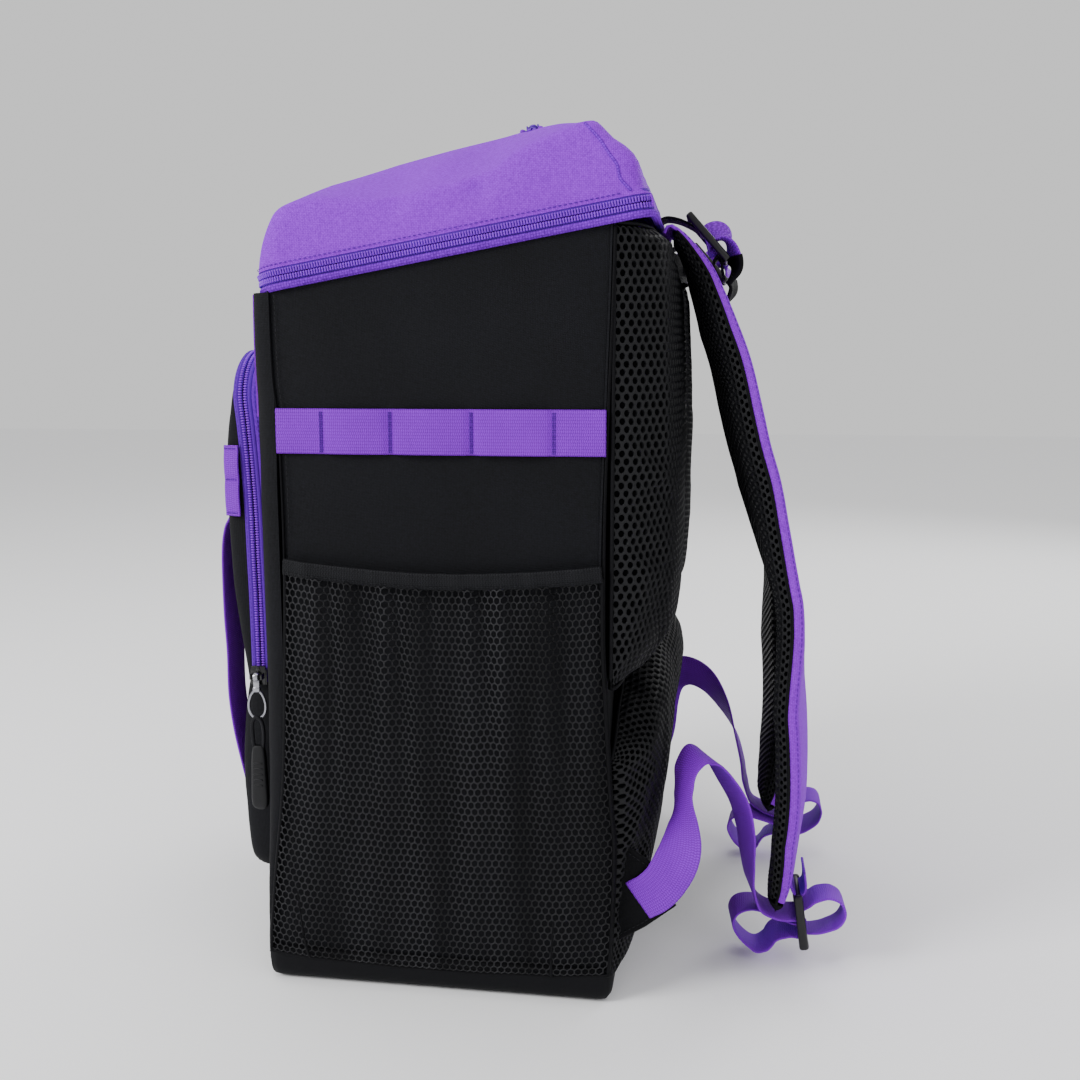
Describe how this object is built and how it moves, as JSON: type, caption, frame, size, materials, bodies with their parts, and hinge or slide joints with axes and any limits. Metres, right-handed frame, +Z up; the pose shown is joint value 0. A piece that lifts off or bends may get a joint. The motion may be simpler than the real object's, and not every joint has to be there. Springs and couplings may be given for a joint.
{
  "type": "skate bag",
  "caption": "Backpack-style skate bag: boxy body with zipped lid, zipped front pocket, side mesh pockets, padded back and two curved shoulder straps.",
  "frame": {"origin": "centre of the flat base, on the floor", "axes": "+Z up, front pocket toward -Y, shoulder straps toward +Y, +X is the wearer's right"},
  "size_m": [0.318, 0.3757, 0.5047],
  "materials": {
    "black_fabric": "matte 600D polyester weave",
    "boot_fabric": "matte coated fabric",
    "purple_fabric": "satin 600D polyester weave",
    "patch": "coated patch, satin",
    "board": "matte sheet",
    "zip_tape": "woven tape",
    "zip_metal": "painted zinc, satin",
    "black_metal": "painted zinc, gloss",
    "steel": "polished wire",
    "spacer_mesh": "open spacer mesh over foam",
    "pocket_mesh": "open knitted mesh",
    "elastic": "ribbed elastic",
    "purple_webbing": "ribbed woven webbing",
    "black_webbing": "woven webbing",
    "black_plastic": "moulded, satin"
  },
  "bodies": {
    "bag": {"front_panel": "black_fabric", "front_accent_panel": "purple_fabric", "side_panel_right": "black_fabric", "side_panel_left": "black_fabric", "back_panel": "black_fabric", "back_board": "board", "base_boot": "boot_fabric", "base_board": "board", "collar_zip_tape": "zip_tape", "upper_back_pad_right": "spacer_mesh", "upper_back_pad_left": "spacer_mesh", "lumbar_pad": "spacer_mesh", "side_webbing_right": "purple_webbing", "side_webbing_left": "purple_webbing", "mesh_pocket_right": "pocket_mesh", "mesh_pocket_left": "pocket_mesh", "pocket_elastic_right": "elastic", "pocket_elastic_left": "elastic", "wing_right": "black_fabric", "wing_left": "black_fabric", "pocket_gusset": "purple_fabric", "gusset_zip_tape": "zip_tape", "pocket_lower": "black_fabric", "strap_yoke": "black_fabric", "grab_handle": "black_webbing"},
    "lid": {"lid_shell": "purple_fabric", "lid_zip_tape": "zip_tape", "lid_patch": "patch", "lid_pocket_zip": "zip_tape"},
    "lid_pocket_slider": {"lid_pocket_slider": "zip_metal"},
    "lid_slider_right": {"lid_slider_right": "zip_metal"},
    "lid_slider_left": {"lid_slider_left": "zip_metal"},
    "lid_pull_right": {"lid_pull_right": "zip_metal"},
    "lid_pull_left": {"lid_pull_left": "zip_metal"},
    "flap": {"pocket_flap": "black_fabric", "flap_zip_tape": "zip_tape", "front_loop_webbing": "purple_webbing", "front_carry_straps": "purple_webbing"},
    "pocket_slider": {"pocket_slider": "black_metal"},
    "pocket_pull": {"pull_ring": "steel", "pull_cord": "black_webbing", "pull_grip": "black_plastic"},
    "strap_right": {"strap_pad_right": "spacer_mesh", "strap_cover_right": "purple_fabric", "ladder_lock_right": "black_plastic", "adjuster_tail_right": "purple_webbing", "adjuster_webbing_right": "purple_webbing", "lifter_webbing_right": "black_webbing", "lifter_buckle_right": "black_plastic", "lifter_tail_right": "purple_webbing"},
    "strap_left": {"strap_pad_left": "spacer_mesh", "strap_cover_left": "purple_fabric", "ladder_lock_left": "black_plastic", "adjuster_tail_left": "purple_webbing", "adjuster_webbing_left": "purple_webbing", "lifter_webbing_left": "black_webbing", "lifter_buckle_left": "black_plastic", "lifter_tail_left": "purple_webbing"}
  },
  "joints": [
    {"name": "lid_hinge", "type": "hinge", "parent": "bag", "child": "lid", "pos_m": [0, 0.116, 0.442], "axis": [-1, 0, 0], "range_deg": [0, 95]},
    {"name": "lid_pocket_slide", "type": "slide", "parent": "lid", "child": "lid_pocket_slider", "axis": [-1, 0, 0], "range_m": [0, 0.1]},
    {"name": "lid_slider_right_slide", "type": "slide", "parent": "bag", "child": "lid_slider_right", "axis": [1, 0, 0], "range_m": [0, 0.125]},
    {"name": "lid_pull_right_swing", "type": "hinge", "parent": "lid_slider_right", "child": "lid_pull_right", "pos_m": [0.01, -0.1089, 0.4036], "axis": [-1, 0, 0], "range_deg": [0, 150]},
    {"name": "lid_slider_left_slide", "type": "slide", "parent": "bag", "child": "lid_slider_left", "axis": [-1, 0, 0], "range_m": [0, 0.125]},
    {"name": "lid_pull_left_swing", "type": "hinge", "parent": "lid_slider_left", "child": "lid_pull_left", "pos_m": [-0.01, -0.1089, 0.4036], "axis": [-1, 0, 0], "range_deg": [0, 150]},
    {"name": "pocket_flap_hinge", "type": "hinge", "parent": "bag", "child": "flap", "pos_m": [0, -0.124, 0.174], "axis": [1, 0, 0], "range_deg": [0, 38], "deforming": ["front_carry_straps"]},
    {"name": "pocket_slider_slide", "type": "slide", "parent": "bag", "child": "pocket_slider", "axis": [0, 0, 1], "range_m": [0, 0.11]},
    {"name": "pocket_pull_swing", "type": "hinge", "parent": "pocket_slider", "child": "pocket_pull", "pos_m": [0.1325, -0.1136, 0.178], "axis": [0, -1, 0], "range_deg": [0, 150]},
    {"name": "strap_right_swing", "type": "hinge", "parent": "bag", "child": "strap_right", "pos_m": [0.08, 0.1185, 0.433], "axis": [1, 0, 0], "range_deg": [-6, 15], "stiffness_Nm_per_rad": 5, "springref_deg": 1.15, "deforming": ["adjuster_webbing_right", "lifter_webbing_right"]},
    {"name": "strap_left_swing", "type": "hinge", "parent": "bag", "child": "strap_left", "pos_m": [-0.08, 0.1185, 0.433], "axis": [1, 0, 0], "range_deg": [-6, 15], "stiffness_Nm_per_rad": 5, "springref_deg": 1.15, "deforming": ["adjuster_webbing_left", "lifter_webbing_left"]}
  ]
}
